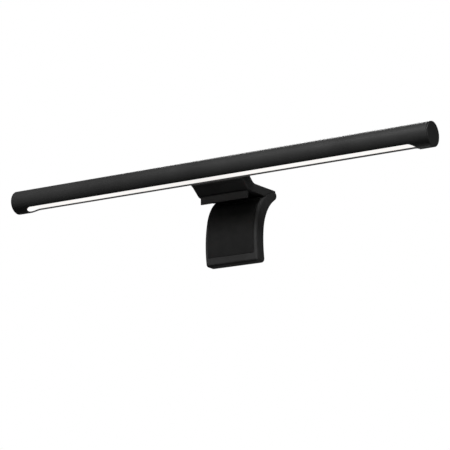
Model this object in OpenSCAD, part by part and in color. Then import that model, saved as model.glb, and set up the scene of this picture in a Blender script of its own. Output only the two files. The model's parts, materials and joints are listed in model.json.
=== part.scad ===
// Monitor light bar: a round tube with a light slot in its underside. A friction swivel carries the
// tube on a hook bracket, which rests on a monitor's top edge. A sprung counterweight hangs behind
// the screen.
// Frame: origin at the centre of the rest pad's face, +X along the bar, +Y to the rear, +Z up.
// Outlines across the bar are [y, z] points measured from the tube's axis, in millimetres.

/* [Light bar] */
// Length over both end caps
bar_len = 448; // [420:1:520]
// Outside diameter of the tube
tube_d = 22.5; // [22.4:0.05:22.6]
// Wall thickness of the tube
tube_wall = 1.2; // [1.1:0.05:1.25]
// Width of the light slot
slot_w = 15.8; // [15:0.1:16]
// Distance from each end of the bar to the tip of the slot
slot_inset = 13.5; // [12:0.5:30]
// Depth of the diffuser's face behind the slot's edge
diffuser_recess = 1.5; // [1:0.1:1.6]
// Number of LEDs in the row
led_count = 56; // [20:2:60]

/* [Bracket] */
// Width of the neck, the arm and the counterweight
bracket_w = 56; // [55:0.5:57]
// Width of the hook plate
plate_w = 51; // [49:1:52]
// Thickness of the hook plate
plate_t = 1.8; // [1.5:0.1:2]
// Length of the lip below the arm
lip_drop = 6.7; // [5:0.1:9]
// Thickness of the pad on the lip
lip_pad_t = 0.8; // [0.5:0.1:1]

/* [Counterweight] */
// Thickness of the grip pad
grip_pad_t = 0.9; // [0.7:0.1:1]
// Thickness of the back cover
cover_t = 3; // [2.4:0.1:3.2]

/* [Hidden] */
$fn = 96;

BLACK = "#1c1c1c";
SOFT_BLACK = "#101010";
STEEL = "#8c8c8c";
COPPER = "#b87333";
BOARD = "#1f5a35";

// Small clearance between two pieces that only meet
gap = 0.1;

// Tube axis above and in front of the rest pad's face
rest_y = 35;
rest_z = 17.9;

// Light bar
tube_r = tube_d / 2;
bore_r = tube_r - tube_wall;
cap_t = 1.2;
cap_chamfer = 0.5;
spigot_len = 6;
spigot_wall = 1.5;
tube_len = bar_len - 2 * cap_t;
slot_len = bar_len - 2 * slot_inset;
slot_edge_z = -sqrt(pow(tube_r, 2) - pow(slot_w / 2, 2));
diffuser_z = slot_edge_z + diffuser_recess;
sheet_t = 1.2;
inside_len = slot_len + 6;
reflector_z = diffuser_z + 2 * sheet_t;
led_z = 0.25;
led_board_t = 1;
led_board_w = 9;
led_board_len = slot_len - 4;
led_size = [3.5, 2.8, 0.7];
led_window = 4.4;
chassis_z = led_z + led_board_t + 0.05;
chassis_t = 1.5;
standoff_h = 1.5;
board_z = chassis_z + chassis_t + standoff_h;
board_t = 1.2;
board_size = [110, 14];
board_x = 75;
board_hole_x = [25, 125];
board_top = board_z + board_t;
screw_r = 1;
screw_hole_r = 1.06;
wire_r = 0.5;
wire_bend = 2;
usb_x = 48;
usb_z = 4.9;
usb_size = [8.94, 7.35, 3.2];
usb_front = 8.95;

// Swivel: angles around the tube's axis from +Y towards +Z
saddle_r = tube_r + 0.35;
liner_t = 0.3;
liner_angles = [-43, 43];
stem_angle = 5;
stem_w = 4.4;
stem_len = 15.4;
stem_reach = 13.4;
stem_half_angle = asin((stem_w / 2 + gap) / bore_r);
slider_half_angle = 16;
slider_len = 24;
slider_t = 1.6;
tilt_min = -15;
tilt_max = 10;
slider_screw_x = 4.6;

// Neck: it slopes down to the rear; its mating face lies square to that slope
neck_slope = 40;
mate_u = 14.6;
front_root = [6.4, -7.6];
front_split = [10.4, -10.3];
front_low = [18.5, -16.4];
back_top = [8.93, 9.25];
back_split = [18.4, -0.79];
arm_root = [27.4, -8.9];

// Arm
arm_top = -8.9;
arm_under = -17.4;
arm_front = 25;
arm_end = 61.5;
plate_y = 20.4;
rest_pad_size = [44, 15.2, 0.5];
pocket = [[-20, 26.5], [20, 44]];
pocket_roof = -11.4;
boss_r = 2.8;
plate_screw_x = 16.5;
plate_screw_y = [29.8, 40.4];
magnet_size = [18, 2.5, 7];
magnet_x = 11.5;
keeper_size = [44, 1.2, 7.6];
mate_v = 5.2;

// Hinge at the arm's rear end
hinge = [63.9, -13.5];
knuckle_r = 4.3;
nose_r = 5.2;
barrel_half = 17;
spring_bore_r = 3.4;
spring_end = 9;
pin_r = 1.5;
pin_half = 23;
spring_r = 2.5;
spring_wire_r = 0.35;
spring_turns = 9;
spring_sides = 6;
turn_steps = 12;
bush_end = -14.5;
leg_hole_r = 0.45;

// Counterweight: each face is a chain of bends, [radius, turn], followed from its foot upwards
bend_steps = 12;
front_foot = [32.6, -77.7];
front_heading = 100.5;
front_bends = [[97, 23.6], [40, 29]];
back_foot = [46.5, -75.3];
back_heading = 99.8;
back_bends = [[97.5, 15.2], [42, 46.6]];
toe_round = 3;
heel_round = 4.2;
seam_start = [45.7, -17.7];
seam_gap = 0.3;
front_skin = 3;
cavity_range = [-74.6, -27];
cavity_half = 24.6;
cover_range = [-75, -24];
pad_range = [-72.6, -21.5];
pad_margin = 3.2;
weight_screw_x = 19.5;
weight_screw_z = [-69, -39.5];
post_r = 2.6;
head_r = 1.8;
head_h = 0.9;
head_sink = 0.5;

// ---- Helpers ----

// Moves from the tube's axis to the part's frame
module at_bar() translate([0, -rest_y, rest_z]) children();

// Draws a [y, z] outline as a slab centred on the middle of the bar
module across(w) rotate([90, 0, 90]) linear_extrude(w, center = true) children();

// Round bar along X
module rod(r, len) rotate([0, 90, 0]) cylinder(r = r, h = len, center = true);

// Round bar along Y from y0 to y1
module peg(r, y0, y1) translate([0, y0, 0]) rotate([-90, 0, 0]) cylinder(r = r, h = y1 - y0);

// Slab along X with round ends
module pill(len, w, h) {
    cube([len - w, w, h], center = true);
    for (s = [-1, 1]) translate([s * (len - w) / 2, 0, 0]) cylinder(d = w, h = h, center = true);
}

// Wedge from the tube's axis between two angles, reaching past the tube
module wedge(a0, a1) polygon([[0, 0], 3 * tube_r * [cos(a0), sin(a0)], 3 * tube_r * [cos(a1), sin(a1)]]);

// Turns Y to run down the neck, so the mating face is at y = mate_u
module along_neck() rotate([-neck_slope, 0, 0]) children();

// Moves from the tube's axis to the hinge's axis
module at_hinge() translate([0, hinge.x, hinge.y]) children();

// Places a copy at x and at -x
module both_sides(x) for (s = [-1, 1]) translate([s * x, 0, 0]) children();

function reversed(list) = [for (i = [len(list) - 1:-1:0]) list[i]];

// Points of one right-hand bend from p, with the heading going from a to a - turn
function bend(p, a, r, turn) = [
    for (i = [1:bend_steps]) let (b = a - turn * i / bend_steps)
    p + r * [sin(a) - sin(b), cos(b) - cos(a)]
];

// Points of a chain of bends from p at heading a
function chain(p, a, bends, off, k = 0) = k == len(bends) ? [] :
    let (run = bend(p, a, bends[k][0] + off, bends[k][1]))
    concat(run, chain(run[len(run) - 1], a - bends[k][1], bends, off, k + 1));

// A chain of bends moved off to the left of its own direction
function curve(foot, a, bends, off) =
    let (p = foot + off * [-sin(a), cos(a)]) concat([p], chain(p, a, bends, off));

function front_curve(inset) = curve(front_foot, front_heading, front_bends, -inset);
function back_curve(inset) = curve(back_foot, back_heading, back_bends, inset);

// Point where a line from q meets the hinge's knuckle, just inside its rim: above it (side 1) or
// below it (side -1)
function touch(q, side) =
    let (r = knuckle_r - 0.03, d = hinge - q, a = atan2(d.y, d.x) + side * asin(r / norm(d)))
    q + sqrt(d * d - pow(r, 2)) * [cos(a), sin(a)];

// Point on the seam between the arm and the counterweight, a distance up from its lower end
function seam_point(along) =
    let (run = touch(seam_start, 1) - seam_start) seam_start + along * run / norm(run);

// ---- Light bar ----

module tube() color(BLACK) at_bar() difference() {
    rod(tube_r, tube_len);
    rod(bore_r, tube_len + 2);
    translate([0, 0, -tube_r]) pill(slot_len, slot_w, 14);
    across(stem_len + 0.6)
        wedge(stem_angle - tilt_max - stem_half_angle, stem_angle - tilt_min + stem_half_angle);
    translate([usb_x, tube_r, usb_z]) rotate([90, 0, 0]) pill(usb_size.x + 0.5, usb_size.z + 0.5, 9);
}

// Flange with a chamfered face, and a spigot that grips inside the tube
module end_cap() {
    translate([tube_len / 2 + gap / 2, 0, 0]) rotate([0, 90, 0]) {
        cylinder(r = tube_r, h = cap_t - cap_chamfer - gap / 2);
        translate([0, 0, cap_t - cap_chamfer - gap / 2])
            cylinder(r1 = tube_r, r2 = tube_r - cap_chamfer, h = cap_chamfer);
    }
    translate([tube_len / 2 - spigot_len, 0, 0]) rotate([0, 90, 0]) difference() {
        cylinder(r = bore_r - 0.03, h = spigot_len + gap);
        translate([0, 0, -1]) cylinder(r = bore_r - spigot_wall, h = spigot_len + 1);
    }
}

module end_cap_right() color(BLACK) at_bar() end_cap();
module end_cap_left() color(BLACK) at_bar() mirror([1, 0, 0]) end_cap();

// Half of the diffuser's lower face as [x, z] points: level along the slot, then down around its tip
function face_half() = [
    for (i = [0:bend_steps])
    let (a = 90 * i / bend_steps)
    [(slot_len - slot_w * (1 - sin(a))) / 2, diffuser_recess - sqrt(pow(tube_r, 2) - pow(slot_w / 2 * cos(a), 2))]
];

// Opal strip: a raised stadium fills the slot, its face as deep as the slot's edge all the way
// round, and a wider flange rests inside the tube
module diffuser() color("white") at_bar() {
    half = face_half();
    face_top = diffuser_z + sheet_t;
    intersection() {
        translate([0, 0, face_top - tube_r / 2]) pill(slot_len - 2 * gap, slot_w - 2 * gap, tube_r);
        rotate([90, 0, 0]) linear_extrude(2 * slot_w, center = true)
            polygon(concat([for (p = reversed(half)) [-p.x, p.y]], half,
                           [[slot_len / 2, face_top], [-slot_len / 2, face_top]]));
    }
    intersection() {
        rod(bore_r - gap, inside_len);
        translate([0, 0, diffuser_z + 1.5 * sheet_t]) cube([inside_len + 2, tube_d, sheet_t], center = true);
    }
}

// White trough between the diffuser and the LED board
module reflector() color("white") at_bar() {
    base_z = reflector_z + 0.05;
    web_z = led_z - 0.05;
    difference() {
        across(inside_len) polygon([[-8.6, base_z], [-4.9, web_z], [4.9, web_z], [8.6, base_z]]);
        across(inside_len - 2)
            polygon([[-7.8, base_z - 1], [-7.8, base_z], [-4.5, web_z - 0.8], [4.5, web_z - 0.8], [7.8, base_z],
                     [7.8, base_z - 1]]);
        translate([0, 0, web_z]) cube([led_board_len - 2, led_window, 3], center = true);
    }
}

module led_board() color(BOARD) at_bar()
    translate([0, 0, led_z + led_board_t / 2]) cube([led_board_len, led_board_w, led_board_t], center = true);

module leds() color("khaki") at_bar() {
    pitch = (led_board_len - 10) / led_count;
    for (i = [0:led_count - 1])
        translate([(i - (led_count - 1) / 2) * pitch, 0, led_z - led_size.z / 2]) cube(led_size, center = true);
}

// Plate across the tube: it carries the boards, takes the LEDs' heat and leaves room for the slider
module chassis() color("silver") at_bar() difference() {
    union() {
        intersection() {
            rod(bore_r - gap, inside_len);
            translate([0, 0, chassis_z + chassis_t / 2])
                cube([inside_len + 2, tube_d, chassis_t], center = true);
        }
        for (x = board_hole_x)
            translate([x, 0, chassis_z + chassis_t / 2]) cylinder(r = 2, h = board_z - chassis_z - chassis_t / 2);
    }
    for (x = board_hole_x) translate([x, 0, chassis_z + 0.3]) cylinder(r = screw_hole_r, h = board_z);
    translate([0, tube_r, chassis_z]) cube([slider_len + 3, tube_d - 12.6, 3 * chassis_t], center = true);
    translate([board_x + board_size.x / 2 + wire_bend + 6, 0, chassis_z - 1]) cylinder(r = 3, h = 4 * chassis_t);
}

module driver_board() color(BOARD) at_bar() difference() {
    translate([board_x, 0, board_z + board_t / 2]) cube([board_size.x, board_size.y, board_t], center = true);
    for (x = board_hole_x) translate([x, 0, board_z - 1]) cylinder(r = 1.2, h = 3);
    translate([usb_x, board_size.y / 2, board_z])
        cube([usb_size.x + 0.4, 2 * (board_size.y / 2 - usb_front + usb_size.y + 0.2), 4], center = true);
}

module driver_chips() color("dimgray") at_bar() for (x = [66, 82, 98])
    translate([x, 1, board_top + 0.45]) cube([5, 4, 0.9], center = true);

module capacitors() color("tan") at_bar() for (x = [32, 38.5])
    translate([x, -2, board_top]) cylinder(r = 2.6, h = 2.4);

module inductor() color(COPPER) at_bar() difference() {
    translate([74, 1, board_top]) cylinder(r = 3.2, h = 2.4);
    translate([74, 1, board_top + 0.6]) cylinder(r = 1.1, h = 3);
}

// Small carrier board with a shield can, for the wireless remote
module radio_module() color("silver") at_bar() {
    translate([112, 0, board_top + 0.4]) cube([14, 10, 0.8], center = true);
    translate([110.5, 0, board_top + 1.4]) cube([9, 8, 1.4], center = true);
}

// Type-C receptacle: a shell with a tongue, opening to the rear
module usb_socket() color(STEEL) at_bar() translate([usb_x, usb_front - usb_size.y / 2, usb_z]) {
    difference() {
        rotate([90, 0, 0]) pill(usb_size.x, usb_size.z, usb_size.y);
        translate([0, 1, 0]) rotate([90, 0, 0]) pill(usb_size.x - 0.6, usb_size.z - 0.6, usb_size.y);
    }
    translate([0, -0.8, 0]) cube([6.6, usb_size.y - 1.8, 0.7], center = true);
}

// Two leads that leave the driver board's end and drop through the chassis to the LED board
module led_wires() color("red") at_bar() for (y = [-1.5, 1.5])
    translate([board_x + board_size.x / 2 + 0.05, y, board_z + board_t / 2]) {
        rotate([0, 90, 0]) cylinder(r = wire_r, h = 6);
        translate([6, 0, -wire_bend]) rotate([90, 0, 0])
            rotate_extrude(angle = 90) translate([wire_bend, 0]) circle(r = wire_r);
        drop = board_z + board_t / 2 - wire_bend - chassis_z;
        translate([6 + wire_bend, 0, -wire_bend - drop]) cylinder(r = wire_r, h = drop);
    }

module board_screws() color(STEEL) at_bar() for (x = board_hole_x) translate([x, 0, 0]) {
    translate([0, 0, chassis_z + 0.5]) cylinder(r = screw_r, h = board_top - chassis_z);
    translate([0, 0, board_top]) cylinder(r = 1.9, h = 1.2);
}

// ---- Swivel ----

// The block that hugs the tube's rear, cut square across the neck by the mating face
module swivel_saddle() color(BLACK) at_bar() difference() {
    across(bracket_w) difference() {
        polygon([[0, 0], front_root, front_split, back_split, back_top]);
        circle(r = saddle_r);
    }
    stem_space(gap);
    slider_screw_holes();
    along_neck() translate([0, mate_u, mate_v])
        cube([keeper_size.x + gap, 2 * keeper_size.y + 2 * gap, keeper_size.z + gap], center = true);
}

module stem_space(clear) rotate([stem_angle, 0, 0]) translate([0, stem_reach / 2 + 4, 0])
    cube([stem_len + 2 * clear, stem_reach - 8 + 2 * clear, stem_w + 2 * clear], center = true);

module slider_screw_holes() rotate([stem_angle, 0, 0]) both_sides(slider_screw_x) {
    peg(screw_hole_r, 12, 20);
    peg(head_r + 0.2, 14.6, 24);
}

module saddle_liner() color("darkslategray") at_bar() difference() {
    across(bracket_w - 3) intersection() {
        difference() {
            circle(r = saddle_r - 0.02);
            circle(r = saddle_r - 0.02 - liner_t);
        }
        wedge(liner_angles[0], liner_angles[1]);
    }
    stem_space(gap);
}

// Curved shoe that slides inside the tube, with a stem through the tube's window into the saddle
module inner_slider() color("gray") at_bar() difference() {
    union() {
        across(slider_len) intersection() {
            difference() {
                circle(r = bore_r - 0.05);
                circle(r = bore_r - 0.05 - slider_t);
            }
            wedge(stem_angle - slider_half_angle, stem_angle + slider_half_angle);
        }
        rotate([stem_angle, 0, 0]) translate([0, (stem_reach + 9) / 2, 0])
            cube([stem_len, stem_reach - 9, stem_w], center = true);
    }
    rotate([stem_angle, 0, 0]) both_sides(slider_screw_x) peg(screw_hole_r, 9.9, 20);
}

module slider_screws() color(STEEL) at_bar() rotate([stem_angle, 0, 0]) both_sides(slider_screw_x) {
    peg(screw_r, 10.2, 14.8);
    peg(head_r, 14.65, 14.65 + head_h);
}

module keeper_plate() color(STEEL) at_bar() along_neck() translate([0, mate_u - keeper_size.y / 2, mate_v])
    cube(keeper_size, center = true);

// ---- Bracket ----

// Everything under the seam between the arm and the counterweight, raised by clear
module under_seam(clear) {
    run = seam_point(1) - seam_start;
    translate(seam_start) rotate(atan2(run.y, run.x)) translate([-40, clear - 60]) square([100, 60]);
}

module arm_outline() difference() {
    polygon([front_split, front_low, [arm_front, arm_under], [arm_end, arm_under], [arm_end, arm_top],
             arm_root, back_split]);
    under_seam(seam_gap);
}

// Neck and arm in one shell, with a barrel at the rear for the hinge
module arm_shell() color(BLACK) at_bar() difference() {
    union() {
        difference() {
            across(bracket_w) arm_outline();
            at_hinge() both_sides(bracket_w / 2) rod(nose_r + seam_gap, bracket_w - 2 * barrel_half);
        }
        across(2 * barrel_half)
            polygon([[arm_end - 2, arm_top], [hinge.x, hinge.y + knuckle_r - 0.02], hinge, seam_point(14.4)]);
        at_hinge() rod(knuckle_r, 2 * barrel_half);
    }
    across(plate_w + 2 * gap) translate([plate_y - gap, arm_under - 1]) square([30, plate_t + 1]);
    along_neck() translate([0, mate_u - 20 + gap, 0]) cube([bracket_w + 2, 40, 60], center = true);
    along_neck() both_sides(magnet_x) translate([0, mate_u + gap + magnet_size.y / 2, mate_v])
        cube(magnet_size + [gap, 2 * gap, gap], center = true);
    difference() {
        translate([pocket[0].x, pocket[0].y, arm_under])
            cube([pocket[1].x - pocket[0].x, pocket[1].y - pocket[0].y, pocket_roof - arm_under]);
        at_plate_screws() cylinder(r = boss_r, h = 20);
    }
    at_plate_screws() cylinder(r = screw_hole_r, h = 5.2);
    at_hinge() {
        rod(pin_r + 0.03, 2 * barrel_half + 2);
        translate([(spring_end - barrel_half - 1) / 2, 0, 0]) rod(spring_bore_r, spring_end + barrel_half + 1);
        translate([spring_end, spring_r, 0]) rod(leg_hole_r, 4);
    }
}

// Places a child at each plate screw, at the arm's lower face and pointing up
module at_plate_screws() for (x = [-plate_screw_x, plate_screw_x], y = plate_screw_y)
    translate([x, y, arm_under]) children();

// Bent steel plate under the arm; its front edge turns down as the lip
module hook_plate() color(BLACK) at_bar() difference() {
    across(plate_w) difference() {
        translate([plate_y, arm_under - lip_drop]) square([40, lip_drop + plate_t - gap / 2]);
        translate([plate_y + plate_t, arm_under - lip_drop - 1]) square([60, lip_drop + 1]);
        under_seam(seam_gap);
    }
    at_plate_screws() {
        translate([0, 0, -1]) cylinder(r = screw_hole_r, h = 5);
        translate([0, 0, -0.01]) cylinder(r1 = head_r + 0.3, r2 = screw_r, h = 1.1);
    }
}

module rest_pad() color(SOFT_BLACK) translate([0, 0, rest_pad_size.z / 2]) cube(rest_pad_size, center = true);

module lip_pad() color(SOFT_BLACK) at_bar()
    translate([0, plate_y + plate_t + lip_pad_t / 2, arm_under - rest_pad_size.z - (lip_drop - 1) / 2])
        cube([plate_w - 6, lip_pad_t, lip_drop - 1.4], center = true);

module magnets() color(STEEL) at_bar() along_neck() both_sides(magnet_x)
    translate([0, mate_u + 1.5 * gap + magnet_size.y / 2, mate_v]) cube(magnet_size, center = true);

// Flat-head screws that hold the hook plate to the arm, hidden by the rest pad
module plate_screws() color(STEEL) at_bar() at_plate_screws() {
    translate([0, 0, 0.05]) cylinder(r1 = head_r + 0.1, r2 = screw_r, h = 0.9);
    translate([0, 0, 0.9]) cylinder(r = screw_r, h = 4);
}

module hinge_pin() color(STEEL) at_bar() at_hinge() rod(pin_r, 2 * pin_half);

// Point of the hinge spring at step i: axial legs, then the coil
function spring_point(i, last) =
    let (run = min(max((i - 2) / (last - 4), 0), 1),
         leg = i < 2 ? -0.9 * (2 - i) : i > last - 2 ? 0.7 * (i - last + 2) : 0,
         x = bush_end + 0.5 + (spring_end - bush_end - 1) * run + leg,
         a = 360 * spring_turns * run)
    [x, spring_r * cos(a), spring_r * sin(a)];

// Torsion spring around the hinge pin, swept as rings of wire
module hinge_spring() color(STEEL) at_bar() at_hinge() {
    last = spring_turns * turn_steps + 4;
    path = [for (i = [0:last]) spring_point(i, last)];
    rings = [
        for (i = [0:last])
        let (step = path[min(i + 1, last)] - path[max(i - 1, 0)],
             out = [0, path[i].y, path[i].z] / spring_r,
             side = cross(step / norm(step), out) / norm(cross(step / norm(step), out)))
        for (k = [0:spring_sides - 1])
        path[i] + spring_wire_r * (cos(360 * k / spring_sides) * out + sin(360 * k / spring_sides) * side)
    ];
    walls = [
        for (i = [0:last - 1], k = [0:spring_sides - 1])
        let (a = i * spring_sides + k, b = i * spring_sides + (k + 1) % spring_sides)
        each [[a, b, b + spring_sides], [a, b + spring_sides, a + spring_sides]]
    ];
    start = [for (k = [spring_sides - 1:-1:0]) k];
    end = [for (k = [0:spring_sides - 1]) last * spring_sides + k];
    polyhedron(rings, concat([start], walls, [end]));
}

// ---- Counterweight ----

// Side view of the counterweight without its knuckles, from the foot up the front and down the back
module weight_outline() {
    front = front_curve(0);
    back = back_curve(0);
    heel = bend(back_foot, back_heading - 180, heel_round, back_heading);
    toe_start = front_foot - toe_round * [-sin(front_heading), cos(front_heading) + 1];
    toe = bend(toe_start, 180, toe_round, 180 - front_heading);
    polygon(concat(front, [seam_start, touch(seam_start, 1), hinge, touch(back[len(back) - 1], -1)],
                   reversed(back), heel, [toe_start], toe));
}

// Band between two insets of the back face, within a height range
module back_band(inset0, inset1, range) intersection() {
    polygon(concat(back_curve(inset0), reversed(back_curve(inset1))));
    translate([0, range[0]]) square([100, range[1] - range[0]]);
}

// Band between two insets of the front face, within a height range
module front_band(inset0, inset1, range) intersection() {
    polygon(concat(front_curve(inset0), reversed(front_curve(inset1))));
    translate([0, range[0]]) square([100, range[1] - range[0]]);
}

// Hollow of the counterweight, shrunk by clear; the rear may reach further back
module cavity_outline(clear, rear = 0) intersection() {
    polygon(concat(front_curve(front_skin + clear), reversed(back_curve(cover_t + clear - rear))));
    translate([0, cavity_range[0] + clear]) square([100, cavity_range[1] - cavity_range[0] - 2 * clear]);
}

// Places a child at each counterweight screw, on the front face and pointing to the rear
module at_weight_screws() {
    arc_r = front_bends[0][0];
    arc_c = front_foot + arc_r * [sin(front_heading), -cos(front_heading)];
    for (x = [-weight_screw_x, weight_screw_x], z = weight_screw_z)
        translate([x, arc_c.x - sqrt(pow(arc_r, 2) - pow(z - arc_c.y, 2)), z]) children();
}

// Front and sides, with the outer knuckles of the hinge
module weight_shell() color(BLACK) at_bar() difference() {
    union() {
        across(bracket_w) weight_outline();
        both_sides((bracket_w / 2 + barrel_half + 0.2) / 2)
            across(bracket_w / 2 - barrel_half - 0.2) intersection() {
                translate(hinge) circle(r = nose_r);
                polygon([hinge, hinge - [nose_r, 0], [hinge.x - nose_r, arm_top],
                         hinge + [0, knuckle_r - 0.02]]);
            }
        at_hinge() rod(knuckle_r, bracket_w);
    }
    across(bracket_w + 2) back_band(-12, cover_t, cover_range);
    across(2 * cavity_half) cavity_outline(0, 1);
    across(bracket_w - 2 * pad_margin) front_band(-4, grip_pad_t, pad_range);
    at_weight_screws() {
        peg(screw_hole_r, -1, 8);
        peg(head_r + 0.2, -2, grip_pad_t + head_sink + head_h);
    }
    at_hinge() {
        rod(pin_r + 0.05, 2 * pin_half + 0.4);
        rod(knuckle_r + 0.35, 2 * barrel_half + 0.4);
    }
    across(2 * barrel_half + 0.4) polygon([seam_point(13.6), touch(seam_start, 1) + [0, 1], hinge]);
}

// Curved cover over the back, with four posts that take the screws
module weight_cover() color(BLACK) at_bar() difference() {
    union() {
        across(bracket_w) back_band(0, cover_t - gap, [cover_range[0] + gap, cover_range[1] - gap]);
        intersection() {
            across(2 * cavity_half) cavity_outline(gap, 1);
            at_weight_screws() peg(post_r, 0, 20);
        }
    }
    at_weight_screws() peg(screw_hole_r, -1, 8);
}

module weight_slug() color("dimgray") at_bar() difference() {
    across(2 * cavity_half - 1) cavity_outline(gap);
    at_weight_screws() peg(post_r + 0.2, -1, 20);
}

module grip_pad() color(SOFT_BLACK) at_bar() across(bracket_w - 2 * pad_margin - 2 * gap)
    front_band(0, grip_pad_t - gap / 2, [pad_range[0] + gap, pad_range[1] - gap]);

// Pan-head screws from the front, hidden by the grip pad
module weight_screws() color(STEEL) at_bar() at_weight_screws() {
    peg(screw_r, grip_pad_t + head_sink + head_h / 2, 7.6);
    peg(head_r, grip_pad_t + head_sink, grip_pad_t + head_sink + head_h);
}

// Plug in the open end of the hinge barrel; it turns with the counterweight and holds a spring leg
module hinge_bush() color("ivory") at_bar() at_hinge() difference() {
    translate([(bush_end - barrel_half) / 2 - gap, 0, 0]) rod(spring_bore_r - 0.06, bush_end + barrel_half);
    rod(pin_r + 0.05, 3 * barrel_half);
    translate([bush_end, spring_r, 0]) rod(leg_hole_r, 5);
}

tube();
end_cap_left();
end_cap_right();
diffuser();
reflector();
led_board();
leds();
chassis();
driver_board();
driver_chips();
capacitors();
inductor();
radio_module();
usb_socket();
led_wires();
board_screws();
swivel_saddle();
saddle_liner();
inner_slider();
slider_screws();
keeper_plate();
arm_shell();
hook_plate();
rest_pad();
lip_pad();
magnets();
plate_screws();
hinge_pin();
hinge_spring();
weight_shell();
weight_cover();
weight_slug();
grip_pad();
weight_screws();
hinge_bush();
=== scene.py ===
import json
from math import asin, atan2, cos, hypot, pi, radians, sin, sqrt

import bmesh
import bpy
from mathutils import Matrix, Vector


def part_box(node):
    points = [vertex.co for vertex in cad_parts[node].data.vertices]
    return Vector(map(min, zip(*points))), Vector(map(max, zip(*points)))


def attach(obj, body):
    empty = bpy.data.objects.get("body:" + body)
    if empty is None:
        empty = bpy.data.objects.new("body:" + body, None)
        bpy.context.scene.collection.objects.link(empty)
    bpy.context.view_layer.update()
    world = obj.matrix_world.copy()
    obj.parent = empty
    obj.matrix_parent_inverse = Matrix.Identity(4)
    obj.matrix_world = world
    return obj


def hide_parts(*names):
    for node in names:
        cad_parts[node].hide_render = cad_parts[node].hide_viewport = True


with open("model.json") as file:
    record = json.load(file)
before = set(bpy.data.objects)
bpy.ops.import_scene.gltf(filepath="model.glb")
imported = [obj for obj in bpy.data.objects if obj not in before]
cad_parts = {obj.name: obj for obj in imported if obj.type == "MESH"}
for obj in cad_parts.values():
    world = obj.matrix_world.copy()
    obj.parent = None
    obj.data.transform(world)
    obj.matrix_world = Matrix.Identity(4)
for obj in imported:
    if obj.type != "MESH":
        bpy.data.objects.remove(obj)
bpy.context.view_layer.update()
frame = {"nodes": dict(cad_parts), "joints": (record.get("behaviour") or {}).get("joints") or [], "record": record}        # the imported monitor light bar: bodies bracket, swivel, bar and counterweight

MM = 0.001

# ---- Measures read from the frame ----

AXIS = Vector(next(j["pos_m"] for j in frame["joints"] if j["name"] == "bar_tilt"))


def vertices(node):
    """A CAD node's vertices, measured from the tube's axis."""
    return [v.co - AXIS for v in frame["nodes"][node].data.vertices]


def radius(p):
    """Distance of a point from the tube's axis, for a point measured from it."""
    return hypot(p.y, p.z)


tube_points = vertices("tube")
TUBE_R = max(radius(p) for p in tube_points)
BORE_R = min(radius(p) for p in tube_points)
TUBE_END = max(p.x for p in tube_points)
BAR_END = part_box("end_cap_right")[1].x
slot_points = [p for p in tube_points if p.z < -0.6 * TUBE_R and abs(p.x) < TUBE_END - 5 * MM]
SLOT_HALF = max(abs(p.y) for p in slot_points)
SLOT_TIP = max(p.x for p in slot_points)
window_points = [p for p in tube_points if abs(p.x) < 12 * MM and p.y > 0]


# ---- Meshes ----

SHARP = 32                  # degrees between faces from which an edge stays hard
REFINED_SHARP = 30          # the same on a piece that is shaded again after a boolean
WELD = 1e-7                 # distance within which a built piece's vertices are one


def to_object(bm, name, node, finish_slot):
    """Turns a bmesh into a piece that stands for a CAD node, with smooth faces between sharp edges."""
    bmesh.ops.recalc_face_normals(bm, faces=bm.faces)
    mesh = bpy.data.meshes.new(name)
    bm.to_mesh(mesh)
    bm.free()
    piece = bpy.data.objects.new(name, mesh)
    bpy.context.scene.collection.objects.link(piece)
    mesh.materials.append(finishes[finish_slot])
    finish_shading(piece, SHARP)
    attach(piece, body_of[node])
    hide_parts(node)
    return piece


def finish_shading(piece, sharp):
    """Smooth shading with hard edges kept, and normals that lean to the larger faces."""
    piece.data.shade_smooth()
    piece.data.set_sharp_from_angle(angle=radians(sharp))
    weigh = piece.modifiers.new("normals", "WEIGHTED_NORMAL")
    weigh.keep_sharp = True
    weigh.weight = 60
    apply_modifiers(piece)


def apply_modifiers(piece):
    """Swaps a piece's mesh for the result of its modifiers."""
    depsgraph = bpy.context.evaluated_depsgraph_get()
    baked = bpy.data.meshes.new_from_object(piece.evaluated_get(depsgraph), depsgraph=depsgraph)
    piece.modifiers.clear()
    old, piece.data = piece.data, baked
    bpy.data.meshes.remove(old)
    baked.name = piece.name


def combine(piece, tool_bm, operation):
    """Joins a closed tool to a piece (UNION) or takes it out of the piece (DIFFERENCE)."""
    mesh = bpy.data.meshes.new("tool")
    bmesh.ops.recalc_face_normals(tool_bm, faces=tool_bm.faces)
    tool_bm.to_mesh(mesh)
    tool_bm.free()
    tool = bpy.data.objects.new("tool", mesh)
    bpy.context.scene.collection.objects.link(tool)
    modifier = piece.modifiers.new("combine", "BOOLEAN")
    modifier.operation = operation
    modifier.solver = "MANIFOLD"
    modifier.object = tool
    apply_modifiers(piece)
    bpy.data.objects.remove(tool)
    bpy.data.meshes.remove(mesh)


def prism(outline, start, end):
    """Closed bar between two copies of an outline, one moved by start and the other by end."""
    bm = bmesh.new()
    rings = [[bm.verts.new(Vector(p) + Vector(shift)) for p in outline] for shift in (start, end)]
    bm.faces.new(rings[0])
    bm.faces.new(reversed(rings[1]))
    for i in range(len(outline)):
        k = (i + 1) % len(outline)
        bm.faces.new((rings[0][i], rings[1][i], rings[1][k], rings[0][k]))
    return bm


def join_rows(bm, row_a, row_b, closed=False):
    """Quads between two rows of vertices of the same length."""
    count = len(row_a)
    for i in range(count if closed else count - 1):
        k = (i + 1) % count
        corners = []
        for v in (row_a[i], row_a[k], row_b[k], row_b[i]):
            if v not in corners:
                corners.append(v)
        if len(corners) > 2:
            bm.faces.new(corners)


# ---- Light bar ----

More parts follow.
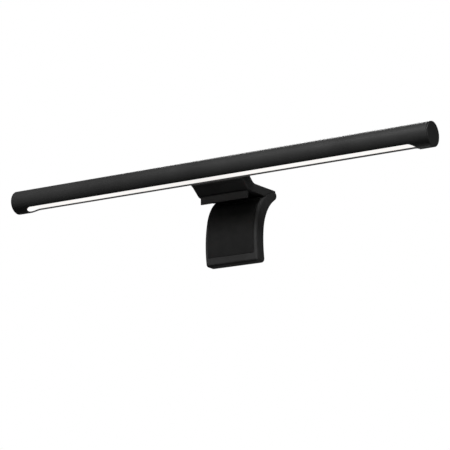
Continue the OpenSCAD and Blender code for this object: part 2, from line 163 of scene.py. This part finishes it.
RIM_CHAMFER = 0.06 * MM     # chamfer along the light slot, seen from below
RIM_DEPTH = 0.1 * MM        # and up the slot's wall
SEAM_CHAMFER = 0.1 * MM     # chamfers on both sides of the seam at the end caps
SEAM_GAP = 0.42 * MM
SLOT_WALL = 0.001 * MM      # half widths above this have a wall between the tube's outside and its bore
FIXED_ANGLE = radians(60)   # from here round the top the tube's columns are even
GRADED = 12                 # columns from the slot to that angle
EVEN = 60                   # columns round the top
TIP_STEPS = 14              # rows round each tip of the slot
STRAIGHT_STEPS = 8          # rows along each half of the slot's straight part


def at_angle(x, angle, r):
    """Point on a cylinder round the tube's axis: angle 0 is straight down and a quarter turn is +Y."""
    return AXIS + Vector((x, r * sin(angle), -r * cos(angle)))


def column_angles(first):
    """Angles once round the tube, from one side of the slot to the other."""
    graded = [first + (FIXED_ANGLE - first) * i / GRADED for i in range(GRADED)]
    even = [FIXED_ANGLE + (2 * pi - 2 * FIXED_ANGLE) * i / EVEN for i in range(EVEN + 1)]
    return graded + even + [2 * pi - a for a in reversed(graded)]


def tube_stations():
    """Rows along half the bar, from its end inwards.

    Each row is (outer x, slot half width there, bore x, slot half width there).
    """
    centre = SLOT_TIP - SLOT_HALF
    rim = SLOT_HALF + RIM_CHAMFER
    stations = [(TUBE_END - SEAM_CHAMFER, 0, TUBE_END, 0), (TUBE_END - 6 * MM, 0, TUBE_END - 6 * MM, 0)]
    for i in range(TIP_STEPS + 1):
        turn = pi / 2 * (1 - i / TIP_STEPS)
        stations.append((centre + rim * sin(turn), rim * cos(turn),
                         centre + SLOT_HALF * sin(turn), SLOT_HALF * cos(turn)))
    straight = [centre * (1 - i / STRAIGHT_STEPS) for i in range(1, STRAIGHT_STEPS + 1)]
    return stations + [(x, rim, x, SLOT_HALF) for x in straight]


def build_tube():
    """Aluminium tube with a stadium slot, chamfered slot edges and ends, and a USB opening at the rear."""
    bm = bmesh.new()
    half = tube_stations()
    whole = half + [(-a, b, -c, d) for a, b, c, d in reversed(half[:-1])]
    outer, bore, wall = [], [], []
    for x_out, half_out, x_in, half_in in whole:
        angles = column_angles(asin(half_out / TUBE_R))
        outer.append([bm.verts.new(at_angle(x_out, a, TUBE_R)) for a in angles])
        angles = column_angles(asin(half_in / BORE_R))
        bore.append([bm.verts.new(at_angle(x_in, a, BORE_R)) for a in angles])
        drop = sqrt(TUBE_R ** 2 - half_in ** 2) - RIM_DEPTH
        wall.append([bm.verts.new(AXIS + Vector((x_in, side * half_in, -drop))) for side in (1, -1)])
    for i in range(len(whole) - 1):
        join_rows(bm, outer[i], outer[i + 1])
        join_rows(bm, bore[i], bore[i + 1])
        if max(whole[i][1], whole[i + 1][1]) > SLOT_WALL:
            for side, column in ((0, 0), (1, -1)):
                join_rows(bm, [outer[i][column], wall[i][side], bore[i][column]],
                          [outer[i + 1][column], wall[i + 1][side], bore[i + 1][column]])
    for end, sign in ((0, 1), (-1, -1)):
        lip = [bm.verts.new(at_angle(sign * TUBE_END, a, TUBE_R - SEAM_CHAMFER)) for a in column_angles(0)]
        join_rows(bm, outer[end], lip)
        join_rows(bm, lip, bore[end])
    bmesh.ops.remove_doubles(bm, verts=bm.verts, dist=WELD)
    bmesh.ops.delete(bm, geom=[v for v in bm.verts if not v.link_faces], context="VERTS")
    piece = to_object(bm, "light_tube", "tube", "tube_black")
    cut_window(piece)
    cut_usb_opening(piece)
    finish_shading(piece, REFINED_SHARP)


def cut_window(piece):
    """Opening for the swivel's stem, which the saddle hides."""
    angles = sorted(atan2(p.z, p.y) for p in window_points)
    width = max(p.x for p in window_points)
    reach = 1.3 * TUBE_R
    outline = [AXIS + Vector((0, r * cos(a), r * sin(a)))
               for r, a in ((0.2 * TUBE_R, angles[0]), (reach, angles[0]), (reach, angles[-1]),
                            (0.2 * TUBE_R, angles[-1]))]
    combine(piece, prism(outline, (-width, 0, 0), (width, 0, 0)), "DIFFERENCE")


def pill_outline(centre, half_x, half_z, steps=10):
    """Stadium outline in the XZ plane: its flat sides run along X."""
    points = []
    for side, start in ((1, -pi / 2), (-1, pi / 2)):
        for i in range(steps + 1):
            a = start + pi * i / steps
            points.append(centre + Vector((side * (half_x - half_z) + half_z * cos(a), 0, half_z * sin(a))))
    return points


def cut_usb_opening(piece):
    """Opening at the tube's rear with a small margin round the socket's mouth."""
    lo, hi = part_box("usb_socket")
    margin = 0.25 * MM
    reach = 12 * MM
    centre = (lo + hi) / 2
    outline = pill_outline(centre, (hi.x - lo.x) / 2 + margin, (hi.z - lo.z) / 2 + margin)
    combine(piece, prism(outline, (0, 0, 0), (0, reach, 0)), "DIFFERENCE")


def lathe(bm, profile, steps=128):
    """Surface of revolution about the tube's axis from (x, r) points; r 0 closes it to a point."""
    rows = []
    for x, r in profile:
        if r == 0:
            rows.append([bm.verts.new(AXIS + Vector((x, 0, 0)))] * steps)
        else:
            rows.append([bm.verts.new(at_angle(x, 2 * pi * i / steps, r)) for i in range(steps)])
    for a, b in zip(rows, rows[1:]):
        join_rows(bm, a, b, closed=True)


def build_end_cap(node, name, sign):
    """Cap with a rounded rim and a hollow spigot that grips inside the tube."""
    lo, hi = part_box(node)
    inner = lo.x if sign > 0 else hi.x
    spigot_r = BORE_R - 0.03 * MM
    spigot_bore = BORE_R - 1.5 * MM
    seam = TUBE_END + SEAM_GAP
    rim = 0.5 * MM
    profile = [(seam, 0), (seam, spigot_bore), (abs(inner), spigot_bore), (abs(inner), spigot_r - 0.3 * MM),
               (abs(inner) + 0.3 * MM, spigot_r), (seam, spigot_r), (seam, TUBE_R - SEAM_CHAMFER),
               (seam + SEAM_CHAMFER, TUBE_R)]
    for i in range(7):
        a = pi / 2 * i / 6
        profile.append((BAR_END - rim + rim * sin(a), TUBE_R - rim + rim * cos(a)))
    profile += [(BAR_END, TUBE_R * 0.5), (BAR_END, 0)]
    bm = bmesh.new()
    lathe(bm, [(sign * x, r) for x, r in profile])
    bmesh.ops.remove_doubles(bm, verts=bm.verts, dist=WELD)
    return to_object(bm, name, node, "tube_black")


def build_diffuser():
    """Opal strip on a flange inside the tube. Its face follows the slot's edge down around both tips."""
    points = vertices("diffuser")
    centre = SLOT_TIP - SLOT_HALF
    face_z = min(p.z for p in points if abs(p.x) < centre + 0.1 * MM)
    recess = face_z + sqrt(TUBE_R ** 2 - SLOT_HALF ** 2)
    half_y = max(abs(p.y) for p in points if p.z < face_z + 0.5 * MM)
    shelf_z = min(p.z for p in points if abs(p.y) > half_y + 0.1 * MM)
    top_z = max(p.z for p in points)
    end_x = max(p.x for p in points)
    soft = 0.3 * MM

    bm = bmesh.new()
    turns = [radians(84) * i / TIP_STEPS for i in range(TIP_STEPS + 1)]
    tip = [(centre + half_y * sin(a), half_y * cos(a),
            recess - sqrt(TUBE_R ** 2 - (SLOT_HALF * cos(a)) ** 2)) for a in turns]
    straight = [(centre * i / STRAIGHT_STEPS, half_y, face_z)
                for i in range(1 - STRAIGHT_STEPS, STRAIGHT_STEPS)]
    rows = []
    for x, w, z in [(-x, w, z) for x, w, z in reversed(tip)] + straight + tip:
        turn_in = min(soft, 0.6 * w)
        side = [(w, shelf_z + 0.2 * MM), (w, z + turn_in), (w - 0.3 * turn_in, z + 0.3 * turn_in),
                (w - turn_in, z)]
        row = [(y, height) for y, height in side] + [(-y, height) for y, height in reversed(side)]
        rows.append([bm.verts.new(AXIS + Vector((x, y, height))) for y, height in row])
    for a, b in zip(rows, rows[1:]):
        join_rows(bm, a, b, closed=True)
    bm.faces.new(rows[0])
    bm.faces.new(rows[-1])
    strip = to_object(bm, "diffuser_strip", "diffuser", "diffuser_white")
    outline = []
    for y_sign in (1, -1):
        for z in ((shelf_z, top_z) if y_sign > 0 else (top_z, shelf_z)):
            y = max(p.y for p in points if abs(p.z - z) < 0.02 * MM)
            outline.append(AXIS + Vector((0, y_sign * y, z)))
    combine(strip, prism(outline, (-end_x, 0, 0), (end_x, 0, 0)), "UNION")
    finish_shading(strip, REFINED_SHARP)


# ---- Moulded and bent pieces: the CAD shape with its edges rounded ----

CAD_WELD = 2e-6             # distance within which vertices of the CAD mesh are one
RIM_BAND = 2.6 * MM         # a rim lies no further than this inside the piece's widest point
HARD_EDGE = radians(25)     # only edges at least this sharp are rounded
CLAMPED_BELOW = 1 * MM      # smaller fillets are held back where they would meet each other


def side_edge(edge, half_width):
    """The normal of the face beyond an edge of an outward side face, or None for any other edge."""
    if len(edge.link_faces) != 2:
        return None
    middle = (edge.verts[0].co + edge.verts[1].co) / 2
    for side, other in (edge.link_faces, reversed(edge.link_faces)):
        outward = side.normal.x * middle.x > 0 and abs(side.normal.x) > 0.9
        if outward and abs(middle.x) > half_width - RIM_BAND and abs(other.normal.x) < 0.6:
            return other.normal
    return None


def corner_edge(edge, half_width):
    """True for an edge that runs across the piece from side to side."""
    run = edge.verts[1].co - edge.verts[0].co
    return abs(run.x) > half_width and hypot(run.y, run.z) < 0.2 * abs(run.x)


def soft_copy(node, name, finish_slot, rules):
    """The CAD node's shape with rounded edges. Each rule is (radius, segments, test of an edge)."""
    bm = bmesh.new()
    bm.from_mesh(frame["nodes"][node].data)
    bmesh.ops.remove_doubles(bm, verts=bm.verts, dist=CAD_WELD)
    bmesh.ops.dissolve_limit(bm, angle_limit=radians(0.2), use_dissolve_boundaries=False,
                             verts=bm.verts[:], edges=bm.edges[:])
    for offset, segments, test in rules:
        bm.normal_update()
        chosen = [e for e in bm.edges
                  if len(e.link_faces) == 2 and e.calc_face_angle() > HARD_EDGE and test(e)]
        if chosen:
            bmesh.ops.bevel(bm, geom=chosen, offset=offset, offset_type="OFFSET", segments=segments,
                            profile=0.5, affect="EDGES", clamp_overlap=offset < CLAMPED_BELOW,
                            harden_normals=False)
            bmesh.ops.remove_doubles(bm, verts=bm.verts, dist=1e-6)
    return to_object(bm, name, node, finish_slot)


def half_width(node):
    """How far a piece that is centred on the bar's middle reaches to each side."""
    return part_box(node)[1].x


def along_side(node, test=lambda normal, point: True):
    """Edge test: rims of the side faces whose other face's normal and midpoint pass a test."""
    width = half_width(node)

    def chosen(edge):
        normal = side_edge(edge, width)
        return normal is not None and test(normal, (edge.verts[0].co + edge.verts[1].co) / 2 - AXIS)
    return chosen


def across_piece(node, test=lambda edge, point: True):
    """Edge test: edges that run from side to side and, with their midpoint, pass a test."""
    width = half_width(node)

    def chosen(edge):
        return corner_edge(edge, width) and test(edge, (edge.verts[0].co + edge.verts[1].co) / 2 - AXIS)
    return chosen


def faces_front_down(normal, point):
    return normal.y < -0.3 and normal.z < -0.3


def faces_back_up(normal, point):
    return normal.y > 0.3 and normal.z > 0.3


def concave_on_top(edge, point):
    return not edge.is_convex and all(face.normal.z > 0.3 for face in edge.link_faces)


def either(*tests):
    """Edge test: edges that pass any of the tests."""
    return lambda edge: any(test(edge) for test in tests)


def build_saddle():
    """Saddle with rounded side edges, and only broken ones along the bore that hugs the tube."""
    node = "swivel_saddle"

    def front_outside_bore(normal, point):
        return faces_front_down(normal, point) and radius(point) > TUBE_R + 1 * MM

    return soft_copy(node, "swivel_saddle_shell", "bracket_black", [
        (1.9 * MM, 5, along_side(node, front_outside_bore)),
        (1.2 * MM, 4, along_side(node, faces_back_up)),
        (0.2 * MM, 2, either(along_side(node), across_piece(node))),
    ])


def build_arm():
    node = "arm_shell"
    return soft_copy(node, "arm_housing", "bracket_black", [
        (3 * MM, 6, across_piece(node, concave_on_top)),
        (1.9 * MM, 5, along_side(node, faces_front_down)),
        (1.5 * MM, 5, along_side(node, lambda n, p: n.z > 0.6)),
        (0.2 * MM, 2, either(along_side(node), across_piece(node))),
    ])


def build_hook_plate():
    node = "hook_plate"
    return soft_copy(node, "hook_plate_bent", "plate_black", [
        (0.7 * MM, 4, across_piece(node, lambda edge, point: not edge.is_convex)),
        (0.35 * MM, 3, either(along_side(node), across_piece(node, lambda edge, point: edge.is_convex))),
    ])


def build_pad(node, name):
    return soft_copy(node, name, "pad_rubber", [(0.15 * MM, 2, lambda edge: True)])


def build_weight_shell():
    """Counterweight's front and sides: the outer rim is rounded, and its other side edges are broken."""
    node = "weight_shell"
    covered = [v.z - AXIS.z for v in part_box("weight_cover")]

    def outer_rim(normal, point):
        beyond_cover = point.z < covered[0] - 0.05 * MM or point.z > covered[1] + 0.15 * MM
        front = normal.y < -0.2 and point.z < -17 * MM
        foot = point.z < covered[0] - 1 * MM and normal.z < -0.2
        return front or foot or beyond_cover and normal.y > 0.2

    return soft_copy(node, "counterweight_shell", "bracket_black", [
        (2.4 * MM, 7, along_side(node, outer_rim)),
        (0.25 * MM, 2, along_side(node)),
    ])


def build_weight_cover():
    node = "weight_cover"
    return soft_copy(node, "counterweight_cover", "bracket_black", [
        (2.5 * MM, 7, along_side(node, lambda n, p: n.y > 0.2)),
        (0.2 * MM, 2, along_side(node)),
    ])


def build_grip_pad():
    node = "grip_pad"
    return soft_copy(node, "grip_pad_rubber", "pad_rubber", [
        (0.25 * MM, 2, either(along_side(node, lambda n, p: n.y < 0), across_piece(node))),
    ])


# ---- Materials ----


class Finish:
    """A node material: a Principled surface with patterns measured in the object's own metres."""

    def __init__(self, name, colour, rough, metallic=0.0, specular=0.5):
        self.material = bpy.data.materials.new(name)
        self.material.use_nodes = True
        self.tree = self.material.node_tree
        self.surface = self.tree.nodes["Principled BSDF"]
        self.surface.inputs["Base Color"].default_value = (*colour, 1)
        self.surface.inputs["Roughness"].default_value = rough
        self.surface.inputs["Metallic"].default_value = metallic
        self.surface.inputs["Specular IOR Level"].default_value = specular
        self.colour = colour
        self.rough = rough
        self.place = self.tree.nodes.new("ShaderNodeTexCoord").outputs["Object"]

    def node(self, kind, **values):
        made = self.tree.nodes.new("ShaderNode" + kind)
        for key, value in values.items():
            if hasattr(made, key):
                setattr(made, key, value)
            else:
                self.feed(made.inputs[key.replace("_", " ")], value)
        return made

    def feed(self, socket, value):
        if isinstance(value, bpy.types.NodeSocket):
            self.tree.links.new(value, socket)
        else:
            socket.default_value = value

    def noise(self, size, detail=2.0, stretch=(1, 1, 1)):
        """Noise from 0 to 1 with features of about size metres, stretched along the axes."""
        mapping = self.node("Mapping", Vector=self.place, Scale=tuple(1 / (size * s) for s in stretch))
        return self.node("TexNoise", Vector=mapping.outputs[0], Scale=1.0, Detail=detail).outputs[0]

    def spread(self, value, low, high):
        """Maps 0.3 to 0.7, where noise mostly lies, to low to high."""
        return self.node("MapRange", Value=value, From_Min=0.3, From_Max=0.7,
                         To_Min=low, To_Max=high).outputs[0]

    def mix(self, factor, a, b):
        made = self.tree.nodes.new("ShaderNodeMix")
        made.data_type = "RGBA"
        self.feed(made.inputs[0], factor)
        self.feed(made.inputs[6], a if isinstance(a, bpy.types.NodeSocket) else (*a, 1))
        self.feed(made.inputs[7], b if isinstance(b, bpy.types.NodeSocket) else (*b, 1))
        return made.outputs[2]

    def edges(self, width):
        """1 along edges that a bevel of this width would round, and 0 elsewhere."""
        rounded = self.node("Bevel", samples=4, Radius=width).outputs[0]
        plain = self.node("NewGeometry").outputs["Normal"]
        dot = self.node("VectorMath", operation="DOT_PRODUCT")
        self.feed(dot.inputs[0], rounded)
        self.feed(dot.inputs[1], plain)
        return self.node("MapRange", Value=dot.outputs["Value"], From_Min=0.995, From_Max=0.93,
                         To_Min=0.0, To_Max=1.0).outputs[0]

    def paint(self, shade_low, shade_high, size, rough_swing=0.05):
        """Slow variation of colour and roughness over the surface."""
        slow = self.noise(size, 3)
        factor = self.spread(slow, 0, 1)
        low = tuple(c * shade_low for c in self.colour)
        high = tuple(c * shade_high for c in self.colour)
        self.shade = self.mix(factor, low, high)
        self.gloss = self.spread(self.noise(size * 0.6, 3),
                                 self.rough - rough_swing, self.rough + rough_swing)
        self.tree.links.new(self.shade, self.surface.inputs["Base Color"])
        self.tree.links.new(self.gloss, self.surface.inputs["Roughness"])
        return self

    def wear_and_highlight(self, width, colour, amount, rough):
        """Lighter, smoother edges, broken up by noise: partly handling wear and partly a painted highlight
        along rounded edges, where they would catch the light.
        """
        broken = self.spread(self.noise(1.5 * MM, 4), 0.2, 1)
        mask = self.node("Math", operation="MULTIPLY")
        self.feed(mask.inputs[0], self.edges(width))
        self.feed(mask.inputs[1], broken)
        scaled = self.node("Math", operation="MULTIPLY")
        self.feed(scaled.inputs[0], mask.outputs[0])
        scaled.inputs[1].default_value = amount
        self.shade = self.mix(scaled.outputs[0], self.shade, colour)
        self.tree.links.new(self.shade, self.surface.inputs["Base Color"])
        gloss = self.tree.nodes.new("ShaderNodeMix")
        self.feed(gloss.inputs[0], scaled.outputs[0])
        self.feed(gloss.inputs[2], self.gloss)
        self.feed(gloss.inputs[3], rough)
        self.tree.links.new(gloss.outputs[0], self.surface.inputs["Roughness"])
        return self

    def bump(self, height, depth, strength=1.0):
        """Raises the surface by up to depth metres where height is 1. Later calls stack on earlier ones."""
        made = self.node("Bump", Strength=strength, Distance=depth, Height=height)
        links = self.surface.inputs["Normal"].links
        if links:
            self.tree.links.new(links[0].from_socket, made.inputs["Normal"])
        self.tree.links.new(made.outputs[0], self.surface.inputs["Normal"])
        return self


def make_finishes():
    """One node material for each material slot of the record."""
    made = {}

    def add(slot, rough, metallic=0.0, specular=0.5):
        record_colour = next(m["base_color"] for m in frame["record"]["materials"] if m["slot"] == slot)
        made[slot] = Finish(slot + "_finish", record_colour, rough, metallic, specular)
        return made[slot]

    tube = add("tube_black", 0.46, 0.0, 0.5).paint(0.85, 1.15, 40 * MM, 0.04)
    tube.bump(tube.noise(0.18 * MM, 3), 0.012 * MM, 0.6)
    tube.bump(tube.noise(1.1 * MM, 2), 0.004 * MM, 0.5)
    # lighter chamfer edges in the colour: partly handling wear, partly a painted highlight
    tube.wear_and_highlight(0.15 * MM, (0.08, 0.08, 0.082), 0.2, 0.4)

    shell = add("bracket_black", 0.65, 0.0, 0.18).paint(0.85, 1.15, 22 * MM, 0.05)
    shell.bump(shell.noise(0.28 * MM, 3), 0.03 * MM, 0.7)
    # lighter fillets in the colour: partly handling wear, partly a painted highlight where the rounded
    # edges catch the key light
    shell.wear_and_highlight(0.3 * MM, (0.06, 0.06, 0.061), 0.3, 0.55)

    plate = add("plate_black", 0.5).paint(0.9, 1.1, 15 * MM, 0.04)
    plate.bump(plate.noise(0.7 * MM, 1.5), 0.02 * MM, 0.6)
    plate.bump(plate.noise(0.15 * MM, 2), 0.008 * MM, 0.5)
    # lighter bend edges in the colour: partly handling wear, partly a painted highlight
    plate.wear_and_highlight(0.2 * MM, (0.09, 0.09, 0.092), 0.4, 0.35)

    pad = add("pad_rubber", 0.72, 0.0, 0.35).paint(0.8, 1.2, 12 * MM, 0.06)
    pad.bump(pad.noise(0.22 * MM, 4), 0.03 * MM, 0.8)

    felt = add("liner_felt", 0.95, 0.0, 0.1).paint(0.6, 1.5, 0.6 * MM, 0.03)
    felt.bump(felt.noise(0.12 * MM, 4, (1, 3, 1)), 0.08 * MM, 1.0)

    for slot, rough, grain in (("slider_grey", 0.45, 0.3), ("bush_white", 0.4, 0.3),
                               ("reflector_white", 0.6, 0.25), ("chip_black", 0.6, 0.12),
                               ("capacitor_tan", 0.35, 0.4), ("wire_red", 0.4, 0.4),
                               ("led_yellow", 0.5, 0.15), ("ferrite", 0.75, 0.2)):
        plain = add(slot, rough).paint(0.9, 1.1, 4 * MM, 0.05)
        plain.bump(plain.noise(grain * MM, 3), 0.015 * MM, 0.6)

    for slot, rough, streak in (("plain_steel", 0.28, (12, 1, 1)), ("screw_steel", 0.35, (1, 1, 4)),
                                ("shield_steel", 0.3, (8, 1, 1)), ("raw_aluminium", 0.38, (20, 1, 1)),
                                ("magnet_nickel", 0.18, (4, 1, 1))):
        metal = add(slot, rough, 1.0).paint(0.85, 1.1, 6 * MM, 0.06)
        metal.bump(metal.noise(0.12 * MM, 3, streak), 0.006 * MM, 0.6)

    slug = add("slug_iron", 0.7, 0.8).paint(0.7, 1.2, 5 * MM, 0.08)
    slug.bump(slug.noise(0.8 * MM, 5), 0.12 * MM, 0.8)

    board = add("board_green", 0.35).paint(0.85, 1.1, 10 * MM, 0.04)
    tracks = board.node("TexBrick", Vector=board.place, Scale=1 / (12 * MM), Mortar_Size=0.012)
    board.bump(tracks.outputs["Fac"], 0.03 * MM, 0.6)

    diffuser = add("diffuser_white", 0.4, 0.0, 0.4).paint(0.98, 1.0, 20 * MM, 0.04)
    diffuser.bump(diffuser.noise(0.35 * MM, 2), 0.006 * MM, 0.4)
    glow = diffuser.spread(diffuser.noise(30 * MM, 2), 0.85, 0.92)
    diffuser.surface.inputs["Emission Color"].default_value = (1.0, 0.99, 0.965, 1)
    diffuser.tree.links.new(glow, diffuser.surface.inputs["Emission Strength"])
    diffuser.surface.inputs["Subsurface Weight"].default_value = 0.2
    diffuser.surface.inputs["Subsurface Scale"].default_value = 2 * MM
    return {slot: finish.material for slot, finish in made.items()}


# ---- Studio ----


def area_light(name, place, aim, size, power):
    """Soft rectangular light, its power in watts, that faces a point and is hidden from the camera."""
    lamp = bpy.data.lights.new(name, "AREA")
    lamp.shape = "RECTANGLE"
    lamp.size, lamp.size_y = size
    lamp.energy = power
    thing = bpy.data.objects.new(name, lamp)
    thing.location = place
    thing.visible_camera = False
    thing.rotation_euler = (Vector(aim) - Vector(place)).to_track_quat("-Z", "Y").to_euler()
    bpy.context.scene.collection.objects.link(thing)


def build_studio():
    """Pale floor well below the hanging object, white surroundings, and soft light from above the front."""
    floor_mesh = bpy.data.meshes.new("floor")
    half, level = 30.0, -2.0
    corners = [(x * half, y * half, level) for x, y in ((-1, -1), (1, -1), (1, 1), (-1, 1))]
    floor_mesh.from_pydata(corners, [], [(0, 1, 2, 3)])
    floor = bpy.data.objects.new("floor", floor_mesh)
    bpy.context.scene.collection.objects.link(floor)
    paper = Finish("floor_paper", (0.9, 0.9, 0.89), 0.9)
    paper.paint(0.98, 1.0, 300 * MM)
    paper.surface.inputs["Emission Color"].default_value = (1, 1, 0.99, 1)
    paper.surface.inputs["Emission Strength"].default_value = 0.72
    floor_mesh.materials.append(paper.material)
    floor.visible_diffuse = False
    floor.visible_glossy = False

    world = bpy.data.worlds.new("studio")
    bpy.context.scene.world = world
    world.use_nodes = True
    nodes, links = world.node_tree.nodes, world.node_tree.links
    sky = nodes["Background"]
    backdrop = nodes.new("ShaderNodeBackground")
    backdrop.inputs["Color"].default_value = (1, 1, 1, 1)
    mix = nodes.new("ShaderNodeMixShader")
    path = nodes.new("ShaderNodeLightPath")
    links.new(path.outputs["Is Camera Ray"], mix.inputs[0])
    links.new(sky.outputs[0], mix.inputs[1])
    links.new(backdrop.outputs[0], mix.inputs[2])
    links.new(mix.outputs[0], nodes["World Output"].inputs[0])
    coords = nodes.new("ShaderNodeTexCoord")
    split = nodes.new("ShaderNodeSeparateXYZ")
    height = nodes.new("ShaderNodeMapRange")
    links.new(coords.outputs["Generated"], split.inputs[0])
    links.new(split.outputs["Z"], height.inputs["Value"])
    height.inputs["From Min"].default_value = -0.6
    height.inputs["From Max"].default_value = 0.9
    height.inputs["To Min"].default_value = 0.34
    height.inputs["To Max"].default_value = 0.8
    links.new(height.outputs[0], sky.inputs["Strength"])

    area_light("key", (0.45, -1.35, 1.5), (0, 0, 0), (1.4, 0.8), 39)
    area_light("front", (0.5, -1.9, 0.1), (0, 0, 0), (0.8, 0.6), 2.5)
    area_light("back", (-0.7, 1.6, 1.3), (0, 0, 0), (1.2, 0.8), 18)
    area_light("under", (0.1, 0.55, -0.7), (0, 0, -0.08), (1.2, 0.4), 1.1)
    area_light("side", (1.9, -0.7, 0.0), (0, 0, 0), (1.0, 1.0), 5)


def build_camera():
    """Below and to the right of the bar's middle, looking up at it."""
    azimuth, elevation, distance = radians(33.49), radians(-14.83), 1.741
    back = Vector((sin(azimuth) * cos(elevation), -cos(azimuth) * cos(elevation), sin(elevation)))
    lens = bpy.data.cameras.new("camera")
    lens.lens = 153.94
    lens.clip_start = 0.1
    lens.clip_end = 50
    camera = bpy.data.objects.new("camera", lens)
    camera.location = AXIS + back * distance
    turn = (-back).to_track_quat("-Z", "Y")
    aim = AXIS + turn @ Vector((0.01228, -0.04889, 0))
    camera.rotation_euler = (aim - camera.location).to_track_quat("-Z", "Y").to_euler()
    bpy.context.scene.collection.objects.link(camera)
    bpy.context.scene.camera = camera
    bpy.context.scene.view_settings.view_transform = "Standard"


# ---- Assembly ----

body_of = {node: body for body, nodes in frame["record"]["behaviour"]["bodies"].items() for node in nodes}
finishes = make_finishes()
slot_of = {part["node"]: part["material_slot"] for part in frame["record"]["subparts"]}
for node, thing in frame["nodes"].items():
    for material_slot in thing.material_slots:
        material_slot.material = finishes[slot_of[node]]

build_tube()
build_end_cap("end_cap_right", "bar_cap_right", 1)
build_end_cap("end_cap_left", "bar_cap_left", -1)
build_diffuser()
build_saddle()
build_arm()
build_hook_plate()
build_pad("rest_pad", "rest_pad_rubber")
build_pad("lip_pad", "lip_pad_rubber")
build_weight_shell()
build_weight_cover()
build_grip_pad()
build_studio()
build_camera()
